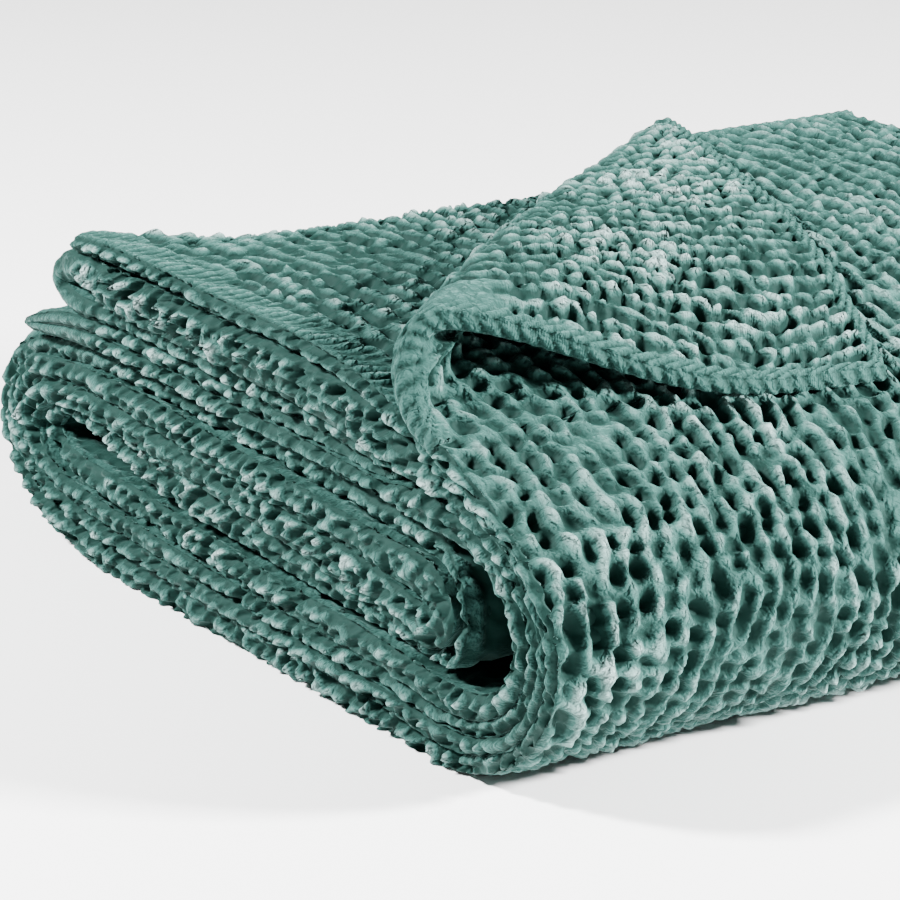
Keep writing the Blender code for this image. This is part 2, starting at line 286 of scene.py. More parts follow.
# The flattened ripples along the second layer's edge, and the ridge of its hem.
RIPPLE_PITCH = 6.4
RIPPLE_HEIGHT = 2.2
RIPPLE_BAND = 14.0
RIPPLE_FADE = 14.0
RIPPLE_SLANT = 0.25
RIPPLE_BENDS = [(1.6, EVEN, 6, 0, 0), (1.5, 23, EVEN, 0, 0)]
RIPPLE_STEADY = 0.6
RIPPLE_PATCHES = [(0.4, 7, 3.3, 0, 0)]
RIPPLE_RAISED = 1.0
RIDGE_HEIGHT = 1.6
RIDGE_INSET = 3
RIDGE_WIDTH = 2.5

# Near its side edges a face keeps less of its relief.
EDGE_RELIEF = 0.35
EDGE_FADE = 8.0

# Each face draws its own weave, and lies at its own place in the pattern.
TOP_SEED = 3
UNDER_SEED = 23
RIM_SEED = 40.0
SEED_SHIFT = 40
RIM_SHIFT = 300

# Mesh steps in millimetres: along the sheet, and the columns across it, fine where they show and
# growing towards the middle where they don't.
STEP = 1.5
STEP_HIDDEN = 1.8
COLUMN_MEDIUM = 2.5
COLUMN_HIDDEN = 60.0
COLUMN_GROWTH = 0.75
FINE_NEAR = 10
FINE_FAR = 3
NEAR_RIM_POINTS = 10
FAR_RIM_POINTS = 5
HEM_ROUND = 5.0
HEM_LEAST = 0.02
BEND_SHARE = 0.9
BEND_WINDOW = 13
LEAST_TURN = 1e-3
TINY = 1e-9
PIECE_TRIANGLES = 190000

# What rests on the floor is pressed flat just above it.
FOOT = 0.2

# Where the sheet is cut into stretches, in the fold's x and z, and how long a turn is at the least.
FOLD_END_X = 105
FOLD_END_Z = 20
NOSE_X = -215
TONGUE_FROM_X = -265
TONGUE_TO_X = -192
TONGUE_Z = 108
UPPER_FROM_X = -205
UPPER_TO_X = -190
UPPER_Z = 130
NOSE_LEAST = 50
TONGUE_LEAST = 20
SECOND_LENGTH = 300

# Faces that don't show keep a part of the relief. Towards the open side they plump up and close on each
# other, and behind it they are darkened with painted shade.
HIDDEN_AMOUNT = 0.4
PLUMP = 0.2
PLUMP_WIDTH = 16.0
PLUMP_BELOW = 156.0
PLUMP_FADE = 4
PAINTED_SHADE_INSIDE = -2.6
PAINTED_SHADE_INSIDE_FROM = 4
PAINTED_SHADE_INSIDE_RUN = 12

# How the relief counts in the cloth's colour as painted shade and highlight: more strongly but lower on the
# top and the rims, and lowest, as a painted shadow, where a rim meets its neighbours, over a narrower band
# the thinner the sheet is.
PAINTED_LIGHT_GAIN_TOP = 1.5
PAINTED_SHADE_TOP = 1.7
PAINTED_SHADE_FLAP = 1.1
PAINTED_LIGHT_GAIN_RIM = 1.3
PAINTED_SHADE_RIM = 1.2
PAINTED_SHADE_BETWEEN = 8.0
BETWEEN_POWER = 5
BETWEEN_THIN = 0.4
THICK_SHEET = 22

# The cloth's colours, with their levels: in its pits, where they are a painted shade, on its body, on its
# puffs, and on their tips, where they are a painted highlight.
CLOTH_COLOURS_AND_PAINTED_LIGHT = [
    (0.02, (0.001, 0.012, 0.009, 1)),
    (0.42, (0.024, 0.074, 0.064, 1)),
    (0.74, (0.125, 0.210, 0.194, 1)),
    (1.0, (0.260, 0.365, 0.350, 1)),
]
RELIEF_TO_LEVEL = 0.16
LEVEL_START = 0.1
PATCHES_IN_LEVEL = 0.16
FIBRES_IN_LEVEL = 0.34

# The cloth's finish.
CLOTH_FINISH = {
    "Roughness": 0.72,
    "Sheen Weight": 0.12,
    "Sheen Roughness": 0.45,
    "Sheen Tint": (0.4, 0.85, 0.76, 1),
    "Specular IOR Level": 0.2,
    "Specular Tint": (0.55, 0.95, 0.88, 1),
}

# The cloth's noises and its two sizes of crumples, by their cells in a metre.
PATCHES = {"Scale": 22, "Detail": 3}
FIBRES = {"Scale": 420, "Detail": 4, "Roughness": 0.65}
PULL = {"Scale": 150, "Detail": 2}
CRUMPLES_COARSE = 165
CRUMPLES_FINE = 330

# The relief too fine for the mesh: how far the pull bends the crumples, in metres, the weight of each part,
# the depth of the whole in metres, and its strength by level.
CRUMPLES_PULLED = 0.008
COARSE_WEIGHT = -2.0
FINE_WEIGHT = -0.9
FIBRE_WEIGHT = 0.16
BUMP_DEPTH = 0.0022
BUMP_BY_LEVEL = 1.2
BUMP_LEAST = 0.35

# The threads: their radians in a pattern unit of 100 mm, how the pull bends them, and where they show.
PATTERN_UNIT = 100
THREADS = 520.0
THREADS_PULLED = 9
THREADS_FROM = 0.45
THREADS_WEIGHT = 0.3

# The studio: the floor, the world, and each light's place, size in metres and power in watts.
FLOOR_HALF = 4.0
FLOOR_COLOUR = (0.98, 0.98, 0.98, 1)
FLOOR_ROUGHNESS = 0.9
WORLD_STRENGTH = 0.27
LIGHT_AIM = (0, 0, 0.1)
LIGHTS = {
    "key": ((1.6, 1.3, 1.05), 0.3, 350),
    "front": ((-0.7, -1.6, 1.6), 0.3, 255),
}

# The camera: its direction in degrees, where it aims right of and above the fold's middle, its distance,
# all in metres, and its lens and sensor in millimetres.
CAMERA_AZIMUTH = 56.5811
CAMERA_ELEVATION = 18.5168
CAMERA_RIGHT = -0.1294
CAMERA_UP = 0.0765
CAMERA_DISTANCE = 2.063
CAMERA_LENS = 165.04
CAMERA_SENSOR = 36


def smoothstep(value):
    """A smooth rise from 0 to 1."""
    value = np.clip(value, 0, 1)
    return value * value * (3 - 2 * value)


def rise(value, start, run):
    """A smooth rise that begins at the start and takes the run, downwards where the run is negative."""
    return smoothstep((value - start) / run)


def grown(pair, share):
    """A pair's least value plus its growth times a share."""
    least, growth = pair
    return least + growth * share


def waves(table, along, across, seed=0.0):
    """The sum of a table's waves at places along and across."""
    total = 0.0
    for height, radian_along, radian_across, start, seeds in table:
        turn = along / radian_along + across / radian_across + start + seeds * seed
        total = total + height * np.sin(turn)
    return total


# The fold's section


def layer_at(rung, layer):
    """The middle and the thickness of a layer where it crosses a rung: x, z, thickness."""
    row = dict(zip(RUNG_COLUMNS, RUNGS[rung]))
    outer = np.array([row["outer_x"], row["outer_z"]], float)
    inner = np.array([row["inner_x"], row["inner_z"]], float)
    widths = [row[name] for name in LAYERS]
    scale = np.linalg.norm(inner - outer) / sum(widths)
    place = LAYERS.index(layer)
    depth = (sum(widths[:place]) + widths[place] / 2) * scale
    middle = outer + (inner - outer) * depth / np.linalg.norm(inner - outer)
    return (*middle, widths[place] * scale * FILL[layer])


def strip_rows():
    """The whole sheet from end to end, as rows of x, z, thickness and the layer's name."""
    through = list(RUNGS)
    runs = [
        ("first", through, INNER_WRAP),
        ("last", through[::-1], LOWER_TONGUE),
        ("pleat_b", TOP_RUNGS, PLEAT_TURN),
        ("pleat_a", TOP_RUNGS[::-1], []),
        ("third", [], UPPER_NOSE),
        ("third", through, INNER_TURN),
        ("second", through[::-1], UPPER_TONGUE),
    ]
    rows = []
    for layer, rungs, turn in runs:
        rows += [(*layer_at(rung, layer), layer) for rung in rungs]
        rows += [(*row, layer) for row in turn]
    return rows


def reach_of(row):
    """How far this stretch stands out at the open side."""
    x, z, _, layer = row
    inside = x < INNER_TO_X and INNER_FROM_Z < z < INNER_TO_Z
    table = INNER_REACH if inside and layer in INNER_REACH else SIDE_REACH
    return table[layer]


def curve_through(knots):
    """A smooth curve through rows of numbers, with its speed set by the distance in x and z between them."""
    knots = np.vstack([2 * knots[0] - knots[1], knots, 2 * knots[-1] - knots[-2]])
    gaps = np.linalg.norm(np.diff(knots[:, :2], axis=0), axis=1) ** 0.5
    times = np.concatenate([[0], np.cumsum(gaps)])
    out = []
    for i in range(1, len(knots) - 2):
        t0, t1, t2, t3 = times[i - 1 : i + 3]
        for t in t1 + (t2 - t1) * np.arange(SPAN_STEPS) / SPAN_STEPS:
            a1 = knots[i - 1] + (knots[i] - knots[i - 1]) * (t - t0) / (t1 - t0)
            a2 = knots[i] + (knots[i + 1] - knots[i]) * (t - t1) / (t2 - t1)
            a3 = knots[i + 1] + (knots[i + 2] - knots[i + 1]) * (t - t2) / (t3 - t2)
            b1 = a1 + (a2 - a1) * (t - t0) / (t2 - t0)
            b2 = a2 + (a3 - a2) * (t - t1) / (t3 - t1)
            out.append(b1 + (b2 - b1) * (t - t1) / (t2 - t1))
    out.append(knots[-2])
    return np.array(out)


def section_line():
    """The sheet's section in fine steps: rows of x, z, thickness, reach and place along the sheet."""
    rows = strip_rows()
    knots = np.array([(x, z, thick, reach_of((x, z, thick, tag))) for x, z, thick, tag in rows])
    fine = curve_through(knots)
    place = np.concatenate([[0], np.cumsum(np.linalg.norm(np.diff(fine[:, :2], axis=0), axis=1))])
    return np.column_stack([fine, place])


# The fold's unevenness and its turned corner


def swell(x, y):
    """Slow swells over the top, between -1 and 1."""
    return waves(TOP_SWELLS, x, y)


def uneven(x, y, z):
    """Places on the sheet moved by the swells and by the wander of the sides, more the higher they lie."""
    lift = np.clip(z / FULL_LIFT, 0, MOST_LIFT)
    wander = SIDE_WANDER * waves(SIDE_WANDERS, z, y) * np.sqrt(lift)
    x = x + wander
    return x, y, z + TOP_SWELL * swell(x, y) * lift


def drawn_in(x, y, z):
    """How far the ends of the upper layers lie further in than at the open side's corner."""
    end = rise(x, EAR_FROM, -EAR_RUN) * rise(z, EAR_FLOOR, EAR_RISE)
    return EAR_DEPTH * end * rise(y, -HALF_DEPTH, EAR_WIDTH)


def turned_corner(x, y, thick):
    """Rolls the part of the first layer that lies past the crease over onto the rest of it.

    Gives the points' new places, their height over what lies there, and how far round the roll they are.
    """
    length = np.linalg.norm(CREASE_FAR - CREASE_NEAR)
    along = (CREASE_FAR - CREASE_NEAR) / length
    past = np.array([-along[1], along[0]])
    place = np.stack([x, y], -1) - CREASE_NEAR
    share = np.clip(place @ along / length, 0, 1)
    roll = ROLL_NEAR + (ROLL_FAR - ROLL_NEAR) * share
    distance = place @ past + roll * math.pi / 2
    angle = np.clip(distance / roll, 0, math.pi)
    beyond = np.clip(distance - math.pi * roll, 0, None)
    shift = roll * np.sin(angle) - beyond - np.clip(distance, 0, None)
    corner = np.array([RUNGS["top_end"][0], -HALF_DEPTH]) - CREASE_NEAR
    landing = CREASE_NEAR + corner - 2 * (corner @ past) * past
    pull = (TIP - landing) * (beyond / (corner @ past))[..., None]
    hem = smoothstep(1 - (y + HALF_DEPTH) / HEM_SAG_WIDTH)
    sag = HEM_SAG * hem * np.sin(math.pi * np.clip(beyond / (corner @ past), 0, 1)) ** HEM_SAG_POWER
    pull = pull + sag[..., None] * HEM_SAG_WAY
    moved = np.stack([x, y], -1) + shift[..., None] * past + pull
    settle = smoothstep(beyond / FLAP_FALL)
    height = roll * (1 - np.cos(angle))
    height = np.where(beyond > 0, 2 * roll + (thick + FLAP_GAP - 2 * roll) * settle, height)
    return moved[..., 0], moved[..., 1], height, smoothstep(distance / (math.pi * roll))


def top_height(x):
    """The middle height of the first layer over the place x, before the swells."""
    knots = np.array([layer_at(rung, "first")[:2] for rung in RUNGS_UNDER_CORNER])
    return np.interp(x, knots[:, 0], knots[:, 1])


def middle_surface(line, columns, flap):
    """The middle of the sheet: a row for each step of the section, a column for each place across it.

    Gives with it, for the turned corner, how far round the roll each point is.
    """
    x, z, thick, reach, place = (np.repeat(values[:, None], len(columns), 1) for values in line.T)
    side = np.repeat(columns[None], len(line), 0) / HALF_DEPTH
    wave = np.sin(place / EDGE_WANDER_LENGTH + EDGE_WANDER_SHIFT * side)
    wander = EDGE_WANDER * wave * np.abs(side) ** EDGE_POWER
    y = side * HALF_DEPTH - np.clip(-side, 0, 1) ** EDGE_POWER * reach + wander
    if not flap:
        x = x + drawn_in(x, y, z) * (place > FLAP_END)
    x, y, z = uneven(x, y, z)
    if flap:
        fx, fy, height, share = turned_corner(x, y, thick)
        landed = top_height(fx) + TOP_SWELL * swell(fx, fy)
        x, y, z = fx, fy, z * (1 - share) + landed * share + height
        return np.stack([x, y, z], -1), share
    return np.stack([x, y, z], -1), None


# The weave's relief


def chance(i, j, seed):
    """A repeatable random number between 0 and 1 for a cell of the weave."""
    value = np.sin(i * HASH_ALONG + j * HASH_ACROSS + seed * HASH_SEED) * HASH_SCALE
    return value - np.floor(value)


def dome(u, v, reach_u, reach_v):
    """A puff of height 1, part round and part pointed."""
    q = (u / reach_u) ** 2 + (v / reach_v) ** 2
    rounded = np.clip(1 - q, 0, None) ** ROUND_POWER
    pointed = np.clip(1 - np.sqrt(q), 0, None)
    return ROUND_SHARE * rounded + (1 - ROUND_SHARE) * pointed


def cell_puff(draw, a, b, pitch_a, pitch_b):
    """How high a cell's puff is at places counted in cells from the cell's corner."""
    u = (a - 0.5 - PUFF_STRAY[0] * (draw["puff_along"] - 0.5)) * pitch_a
    v = (b - 0.5 - PUFF_STRAY[1] * (draw["puff_across"] - 0.5)) * pitch_b
    v = v + PUFF_LEAN * (draw["lean"] - 0.5) * u
    size = grown(PUFF_SIZE, draw["size"] ** PUFF_SIZE_POWER) + BIG_PUFF * (draw["big"] < BIG_PUFF_SHARE)
    skew_u = 1 + PUFF_SKEW[0] * np.tanh(u / PUFF_SKEW_OVER[0])
    skew_v = 1 + PUFF_SKEW[1] * np.tanh(v / PUFF_SKEW_OVER[1])
    reach_u = pitch_a * PUFF_REACH[0] * size * skew_u
    reach_v = pitch_b * PUFF_REACH[1] * size * grown(PUFF_WIDTH, draw["width"]) * skew_v
    return grown(PUFF_RISE, draw["height"]) * dome(u, v, reach_u, reach_v)


def cell_pit(draw, a, b):
    """How deep the pit at a cell's corner is at places counted in cells from that corner."""
    size = grown(PIT_SIZE, draw["pit_size"])
    u = (a - PIT_STRAY[0] * (draw["pit_along"] - 0.5)) * PIT_NARROW[0] / size
    v = (b - PIT_STRAY[1] * (draw["pit_across"] - 0.5)) * PIT_NARROW[1] / size
    return grown(PIT_RISE, draw["depth"]) * np.exp(-((u**2 + v**2) ** PIT_POWER))


def cells(a, b, pitch_a, pitch_b, seed, stagger):
    """Puffs and pits of a crooked lattice: how high the puffs and how deep the pits are at each place."""
    cell_b = np.floor(b)
    puff = np.zeros(a.shape)
    pit = np.zeros(a.shape)
    for step_b in (-1, 0, 1):
        j = cell_b + step_b
        a_here = a + stagger * np.sin(ROW_TURN * j + seed + a / ROW_DRIFT)
        cell_a = np.floor(a_here)
        for step_a in (-1, 0, 1):
            i = cell_a + step_a
            draw = {name: chance(i, j, seed + number) for number, name in enumerate(DRAWS)}
            puff = np.maximum(puff, cell_puff(draw, a_here - i, b - j, pitch_a, pitch_b))
            pit = np.maximum(pit, cell_pit(draw, a_here - i, b - j))
    return puff, pit


def crumple(s, y, seed):
    """Small sharp creases, from 0 up to 1.7 where both kinds meet."""
    along = 1 - np.abs(np.sin(s / CREASE_ALONG + waves(BENDS_ALONG, s, y, seed)))
    bend = waves(BENDS_ACROSS, s, y, seed) + s / CREASE_ACROSS_SLANT
    across = 1 - np.abs(np.sin(y / CREASE_ACROSS + bend))
    along = along * (0.5 + waves(PATCHES_ALONG, s, y, seed))
    across = across * (0.5 + waves(PATCHES_ACROSS, s, y, seed))
    return along + CREASE_ACROSS_SHARE * across


def waffle(s, y, seed):
    """The relief of the puffy weave at places along and across the cloth, in millimetres."""
    s, y = s + waves(WARP_ALONG, s, y, seed), y + waves(WARP_ACROSS, s, y, seed)
    a, b = s / PITCH_ALONG, y / PITCH_ACROSS
    puff, pit = cells(a, b, PITCH_ALONG, PITCH_ACROSS, seed, STAGGER)
    rope = ROPE_HEIGHT * np.cos(2 * math.pi * (b - 0.5))
    relief = rope + PUFF_HEIGHT * puff - PIT_DEPTH * pit + CRUMPLE_HEIGHT * crumple(s, y, seed) - WEAVE_SUNK
    return relief * (1 + waves(WEAVE_STRENGTH, s, y, seed))


def lumps(s, w, thick, seed):
    """The relief of the sheet's rim, where cells show from the side: leaning lumps with pits between them."""
    y = w * thick * RIM_SPREAD
    s = s + waves(RIM_BENDS, s, y, seed)
    a = (s - RIM_SLANT * y) / RIM_PITCH_ALONG
    b = y / RIM_PITCH_ACROSS + 0.5 + waves(RIM_ROWS, s, y)
    puff, pit = cells(a, b, RIM_PITCH_ALONG, RIM_PITCH_ACROSS, seed, RIM_STAGGER)
    relief = RIM_PUFF * puff - RIM_PIT * pit + RIM_CRUMPLE * crumple(s, y, seed) - RIM_SUNK
    return relief * grown(RIM_BY_THICKNESS, thick) * (1 + waves(RIM_STRENGTH, s, y, seed))


def ripples(s, y, clear):
    """Narrow flattened cells along an edge, with the hem's ridge at the edge itself."""
    turn = 2 * math.pi * (s + RIPPLE_SLANT * y + waves(RIPPLE_BENDS, s, y)) / RIPPLE_PITCH
    ripple = RIPPLE_HEIGHT * np.sin(turn) * (RIPPLE_STEADY + waves(RIPPLE_PATCHES, s, y))
    ridge = RIDGE_HEIGHT * np.exp(-(((clear - RIDGE_INSET) / RIDGE_WIDTH) ** 2))
    return RIPPLE_RAISED + ripple + ridge


def twist(s, clear):
    """The relief of the turned corner's hem: slanting strands with grooves between them."""
    turn = math.pi * (s + HEM_SLANT * clear + waves(HEM_BENDS, s, clear)) / HEM_PITCH
    return HEM_GROOVE * np.abs(np.sin(turn)) ** HEM_SHARP - HEM_SUNK


def calmed(relief, points):
    """The relief made smaller on the smooth ends at the open side's corner."""
    x, y, z = (points[..., k] for k in range(3))
    kept = 1 - CALM_SHARE * rise(x, *CALM_X) * rise(y, *CALM_Y) * rise(z, *CALM_Z)
    return WEAVE_LEVEL + (relief - WEAVE_LEVEL) * kept


# The cloth as closed meshes


def columns_across(near_fine, far_fine, step, widest):
    """Places across the sheet: fine for a stretch from both edges, growing to wide steps between them."""
    places = [0.0]
    width = 2 * (HALF_DEPTH - RIM_INSET)
    while places[-1] < width:
        clear = min(places[-1] - near_fine, width - places[-1] - far_fine)
        places.append(places[-1] + min(widest, step + COLUMN_GROWTH * max(clear, 0)))
    places = np.array(places)
    return places * width / places[-1] - width / 2


def normals_of(points, wrap):
    """Unit normals of a grid of points, from the steps along it and across it."""
    along = np.gradient(points, axis=0)
    if wrap:
        across = np.roll(points, -1, axis=1) - np.roll(points, 1, axis=1)
    else:
        across = np.gradient(points, axis=1)
    normal = np.cross(along, across)
    return normal / np.maximum(np.linalg.norm(normal, axis=-1, keepdims=True), TINY)


def inner_limits(line):
    """How thick each face of the sheet may be drawn before it would pass its own bend's centre."""
    x, z = line[:, 0], line[:, 1]
    dx, dz = np.gradient(x), np.gradient(z)
    turn = np.gradient(np.unwrap(np.arctan2(dz, dx))) / np.maximum(np.hypot(dx, dz), TINY)
    kernel = np.hanning(BEND_WINDOW)[1:-1]
    turn = np.convolve(turn, kernel / kernel.sum(), mode="same")
    up = BEND_SHARE / np.maximum(turn, LEAST_TURN)
    down = BEND_SHARE / np.maximum(-turn, LEAST_TURN)
    return up, down


def hem_round(line):
    """The share of its thickness that the sheet has near its two ends, for rounded hems."""
    clear = np.minimum(line[:, 4], TOTAL_LENGTH - line[:, 4])
    return np.sqrt(np.clip(1 - (1 - np.clip(clear / HEM_ROUND, 0, 1)) ** 2, HEM_LEAST, 1))


def turned_weave(relief, half, turned, place, clear, sign):
    """The turned corner's relief and half thickness, with the roll's smooth band or its lapel."""
    shown = turned if sign < 0 else 1 - turned
    relief = relief * (FLAP_HIDDEN + (1 - FLAP_HIDDEN) * smoothstep(shown * FLAP_SHOWN_BY))
    if sign < 0:
        curl = (1 - rise(clear, CURL_BAND, CURL_BAND_FADE)) * rise(place, CURL_FROM, CURL_RUN)
        relief = relief + (CURL_WEAVE * relief + WEAVE_LEVEL - relief) * curl
    else:
        roll = np.clip(4 * turned * (1 - turned), 0, 1)
        depth = clear / LAPEL_DEPTH
        half = half + LAPEL * roll * np.clip(depth * np.exp(1 - depth), 0, 1)
    return relief, half


def hemmed(relief, half, shown, place, across):
    """The turned corner's relief and half thickness with its hem, along its end and its near edge."""
    clear = np.minimum(place, across + HALF_DEPTH)
    within = (1 - rise(clear, HEM_WIDTH * HEM_FROM, HEM_FADE)) * shown
    relief = relief * (1 - within) + within * twist(place + across, clear)
    half = half + HEM_HEIGHT * np.sqrt(np.clip(1 - (clear / HEM_WIDTH) ** 2, 0, 1)) * shown
    return relief, half


def face_painted_light(relief, clear, flap, sign, seen):
    """How high a face's points count in the cloth's colour, as painted shade and highlight: stronger and
    darker on the top, and with painted shade inside the bundle.
    """
    if not seen:
        return relief + PAINTED_SHADE_INSIDE * rise(clear, PAINTED_SHADE_INSIDE_FROM, PAINTED_SHADE_INSIDE_RUN)
    # On the top and the turned corner the relief counts more strongly and lower: deeper painted shade in the
    # pits, brighter painted highlights on the puffs.
    if sign < 0:
        return PAINTED_LIGHT_GAIN_TOP * relief - (PAINTED_SHADE_FLAP if flap else PAINTED_SHADE_TOP)
    return relief


def face_of(line, columns, flap, sign, limit, seed, seen):
    """One face of the cloth.

    Gives the sheet's middle and normals under it, its points, their places in the pattern, how high each
    counts in the cloth's colour as painted shade and highlight, and half the sheet's thickness there.
    """
    middle, turned = middle_surface(line, columns, flap)
    normal = normals_of(middle, False) * sign
    place = np.repeat(line[:, 4][:, None], len(columns), 1)
    across = np.repeat(columns[None], len(line), 0)
    clear = across + HALF_DEPTH
    half = np.minimum(line[:, 2] / 2, limit)[:, None] * hem_round(line)[:, None] + 0 * across
    finer = FLAP_FINER if flap and sign < 0 else 1.0
    pattern = across + seed * SEED_SHIFT
    relief = waffle(place * finer, pattern * finer, seed) * (1.0 if seen else HIDDEN_AMOUNT) * finer
    relief = calmed(relief, middle)
    if flap:
        relief, half = turned_weave(relief, half, turned, place, clear, sign)
    elif sign < 0 and seen:
        band = rise(clear, RIPPLE_BAND, RIPPLE_FADE)
        relief = relief * band + ripples(place, across, clear) * (1 - band)
    edges = rise(across, -HALF_DEPTH, EDGE_FADE) * rise(across, HALF_DEPTH, -EDGE_FADE)
    relief = relief * (EDGE_RELIEF + (1 - EDGE_RELIEF) * edges)
    if flap:
        relief, half = hemmed(relief, half, turned if sign < 0 else 1 - turned, place, across)
    if not seen:
        low = 1 - rise(middle[..., 2] + normal[..., 2] * half, PLUMP_BELOW, PLUMP_FADE)
        half = half * (1 + PLUMP * low * (1 - rise(clear, 0, PLUMP_WIDTH)))
    points = middle + normal * (half + relief)[..., None]
    painted_light = face_painted_light(relief, clear, flap, sign, seen)
    return middle, normal, points, np.stack([place, pattern], -1), painted_light, half


def rim_of(line, middle, normal, halves, end, sign, count, flap):
    """The rounded edge of the cloth at one side, from its top face to its under face.

    Gives its points, their places in the pattern, and how high each counts in the cloth's colour as painted
    shade and highlight.
    """
    out = middle[:, end] - middle[:, end - sign]
    out -= normal[:, end] * np.sum(out * normal[:, end], -1, keepdims=True)
    out /= np.maximum(np.linalg.norm(out, axis=-1, keepdims=True), TINY)
    angles = np.radians(np.linspace(90, -90, count + 2)[1:-1] * sign)
    w = np.sin(angles)[None] * np.ones((len(line), 1))
    thick = line[:, 2][:, None]
    place = line[:, 4][:, None] + 0 * w
    depth = np.cos(angles)[None] * (RIM_INSET + RIM_BULGE * thick)
    half = np.where(w > 0, halves[0][:, [end]], halves[1][:, [end]])
    if flap:
        relief = twist(place - HALF_DEPTH, w * thick / 2)
    else:
        relief = lumps(place, w, thick, RIM_SEED + sign)
    relief = calmed(relief, middle[:, [end]])
    push = depth - RIM_INSET + relief * (1 - RIM_FADE * np.abs(w) ** RIM_FADE_POWER)
    rim = middle[:, end][:, None] + normal[:, end][:, None] * (w * half)[..., None]
    rim = rim + out[:, None] * push[..., None]
    # Painted shade on the rims, and a painted shadow at a rim's top and under edges, where it meets the
    # neighbouring layers.
    painted_light = PAINTED_LIGHT_GAIN_RIM * relief - PAINTED_SHADE_RIM
    if not flap:
        power = BETWEEN_POWER + BETWEEN_THIN * np.maximum(THICK_SHEET - thick, 0)
        painted_light = painted_light - PAINTED_SHADE_BETWEEN * np.abs(w) ** power
    return rim, np.stack([place, w * thick / 2 + sign * RIM_SHIFT], -1), painted_light


def cloth_grid(line, top_face, under_face, flap):
    """The cloth's whole skin: a loop of points round the sheet for each step along it.

    Gives the points, their places in the pattern, and how high each counts in the cloth's colour as painted
    shade and highlight.
    """
    up, down = inner_limits(line)
    top_columns, top_seen = top_face
    under_columns, under_seen = under_face
    middle, normal, *top, half_up = face_of(line, top_columns, flap, 1, up, TOP_SEED, top_seen)
    _, _, *under, half_down = face_of(line, under_columns, flap, -1, down, UNDER_SEED, under_seen)
    halves = half_up, half_down
    far = rim_of(line, middle, normal, halves, -1, 1, FAR_RIM_POINTS, flap)
    near = rim_of(line, middle, normal, halves, 0, -1, NEAR_RIM_POINTS, flap)
    back = [grid[:, ::-1] for grid in under]
    points, spots, painted_levels = (np.concatenate(grids, 1) for grids in zip(top, far, back, near))
    points[..., 2] = np.maximum(points[..., 2], MIDDLE[2] + FOOT)
    return points, spots, painted_levels


def end_faces(row, top_columns, under_columns):
    """Faces over one end of the cloth: a zip of triangles between its two faces, and one for each rim."""
    top_count, under_count = len(top_columns), len(under_columns)
    top = row[:top_count]
    far = row[top_count : top_count + FAR_RIM_POINTS]
    under = row[top_count + FAR_RIM_POINTS : top_count + FAR_RIM_POINTS + under_count][::-1]
    near = row[top_count + FAR_RIM_POINTS + under_count :]
    faces = [[top[-1], *far, under[-1]], [under[0], *near, top[0]]]
    i = j = 0
    while i < top_count - 1 or j < under_count - 1:
        if j == under_count - 1 or (i < top_count - 1 and top_columns[i + 1] <= under_columns[j + 1]):
            faces.append([top[i], top[i + 1], under[j]])
            i += 1
        else:
            faces.append([top[i], under[j + 1], under[j]])
            j += 1
    return faces


def cloth_piece(name, points, spots, painted_levels, normals, rows, columns):
    """One closed stretch of the cloth between two rows of the grid, with its ends shut."""
    take = slice(rows[0], rows[1] + 1)
    p, spot, painted_level, norm = (grid[take] for grid in (points, spots, painted_levels, normals))
    count, around = p.shape[:2]
    index = np.arange(count * around).reshape(count, around)
    nxt = np.roll(index, -1, axis=1)
    quads = np.stack([index[:-1], index[1:], nxt[1:], nxt[:-1]], -1).reshape(-1, 4)
    ends = end_faces(index[0], *columns) + [face[::-1] for face in end_faces(index[-1], *columns)]
    loops = np.concatenate([quads.reshape(-1), *ends])
    sizes = np.concatenate([np.full(len(quads), 4), [len(face) for face in ends]])
    mesh = bpy.data.meshes.new(name)
    mesh.vertices.add(count * around)
    mesh.vertices.foreach_set("co", ((p - MIDDLE) * MM).reshape(-1))
    mesh.loops.add(len(loops))
    mesh.loops.foreach_set("vertex_index", loops)
    mesh.polygons.add(len(sizes))
    mesh.polygons.foreach_set("loop_start", np.concatenate([[0], np.cumsum(sizes)[:-1]]))
    mesh.polygons.foreach_set("loop_total", sizes)
    mesh.update(calc_edges=True)
    layer = mesh.uv_layers.new(name="cloth")
    layer.data.foreach_set("uv", (spot.reshape(-1, 2)[loops] / PATTERN_UNIT).reshape(-1))
    # The relief attribute carries each point's level of painted shade and highlight for the cloth's colour.
    relief = mesh.attributes.new("relief", "FLOAT", "POINT")
    relief.data.foreach_set("value", painted_level.reshape(-1).astype(np.float32))
    mesh.validate()
    mesh.shade_smooth()
    mesh.normals_split_custom_set_from_vertices(norm.reshape(-1, 3))
    piece = bpy.data.objects.new(name, mesh)
    bpy.context.scene.collection.objects.link(piece)
    return piece


LINE = section_line()
FLAP_END = LINE[int(np.argmax(LINE[:, 0] > FLAP_LIMIT)), 4]
TOTAL_LENGTH = LINE[-1, 4]


def stretch(start, end, step):
    """The section line between two places along the sheet, in even steps."""
    places = np.linspace(start, end, int(round((end - start) / step)) + 1)
    return np.column_stack([np.interp(places, LINE[:, 4], values) for values in LINE.T])


# The cloth's material


def add_node(tree, kind, **values):
    """A new shader node with its settings and its sockets' values set by name."""
    node = tree.nodes.new(kind)
    for key, value in values.items():
        socket = key.replace("_", " ")
        if socket in node.inputs:
            node.inputs[socket].default_value = value
        else:
            setattr(node, key, value)
    return node


def math_node(tree, operation, *values):
    """The output of a new math node over numbers and other nodes' outputs."""
    node = add_node(tree, "ShaderNodeMath", operation=operation)
    for socket, value in zip(node.inputs, values):
        if isinstance(value, (int, float)):
            socket.default_value = value
        else:
            tree.links.new(value, socket)
    return node.outputs[0]


